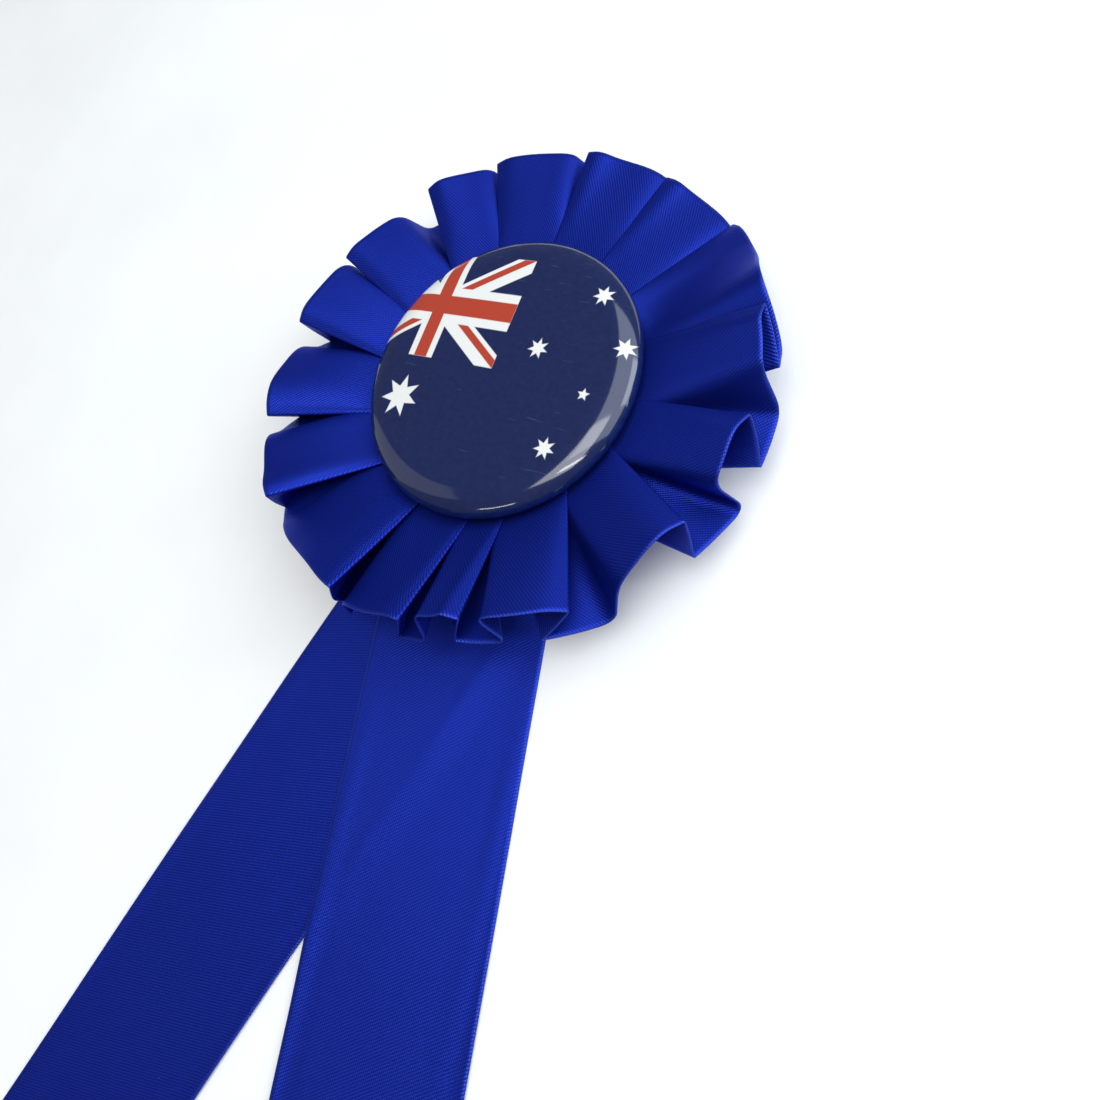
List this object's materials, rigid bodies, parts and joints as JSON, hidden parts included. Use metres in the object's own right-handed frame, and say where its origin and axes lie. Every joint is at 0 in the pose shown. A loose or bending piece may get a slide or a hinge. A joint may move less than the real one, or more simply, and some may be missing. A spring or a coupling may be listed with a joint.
{
  "type": "award ribbon",
  "caption": "Pleated satin rosette with a round button badge in its centre, two satin ribbon tails, and a brooch pin with a turning safety catch on the back.",
  "frame": {"origin": "middle of the brooch needle's shaft, which is under the centre of the badge; the table is 2 mm below it", "axes": "+Z out of the badge's face, upwards as it lies; +Y to the top of the rosette, with the tails towards -Y; +X along the brooch needle towards its point"},
  "size_m": [0.112, 0.2318, 0.0225],
  "materials": {
    "satin": "royal blue polyester satin ribbon, diagonal satin weave, bright on one side",
    "clear_film": "clear polyester film, glossy, lightly scratched",
    "printed_paper": "printed paper, navy with white and red shapes",
    "tinplate": "pressed tinplate",
    "foam": "white foam mounting pad",
    "thread": "blue polyester sewing thread",
    "card": "white pasteboard with a fibrous surface",
    "adhesive": "hot-melt adhesive, cloudy",
    "staple_wire": "galvanised staple wire",
    "nickel_plate": "nickel-plated pressed steel",
    "needle_steel": "polished spring-steel wire"
  },
  "bodies": {
    "head": {"badge_film": "clear_film", "badge_print": "printed_paper", "badge_shell": "tinplate", "badge_back_plate": "tinplate", "badge_pad": "foam", "ruffle": "satin", "ruffle_stitches": "thread", "base_card": "card", "back_card": "card", "card_glue": "adhesive", "tail_staples": "staple_wire", "tail_front_root": "satin", "tail_rear_root": "satin", "brooch_glue": "adhesive", "brooch_bar": "nickel_plate", "brooch_rivet": "nickel_plate"},
    "needle": {"brooch_needle": "needle_steel"},
    "lock": {"brooch_lock": "nickel_plate"},
    "front_tail": {"tail_front_free": "satin"},
    "rear_tail": {"tail_rear_free": "satin"}
  },
  "joints": [
    {"name": "needle_hinge", "type": "hinge", "parent": "head", "child": "needle", "pos_m": [-0.013, 0, 0], "axis": [0, 1, 0], "range_deg": [0, 100]},
    {"name": "lock_turn", "type": "hinge", "parent": "head", "child": "lock", "pos_m": [0.0105, 0, 0], "axis": [1, 0, 0], "range_deg": [-90, 0]},
    {"name": "front_tail_lift", "type": "hinge", "parent": "head", "child": "front_tail", "pos_m": [0.00611, -0.05575, -0.00115], "axis": [-0.9781, -0.2079, 0], "range_deg": [0, 75]},
    {"name": "rear_tail_fold_back", "type": "hinge", "parent": "head", "child": "rear_tail", "pos_m": [-0.00729, -0.05518, -0.002], "axis": [0.9681, -0.2504, 0], "range_deg": [0, 60]}
  ]
}
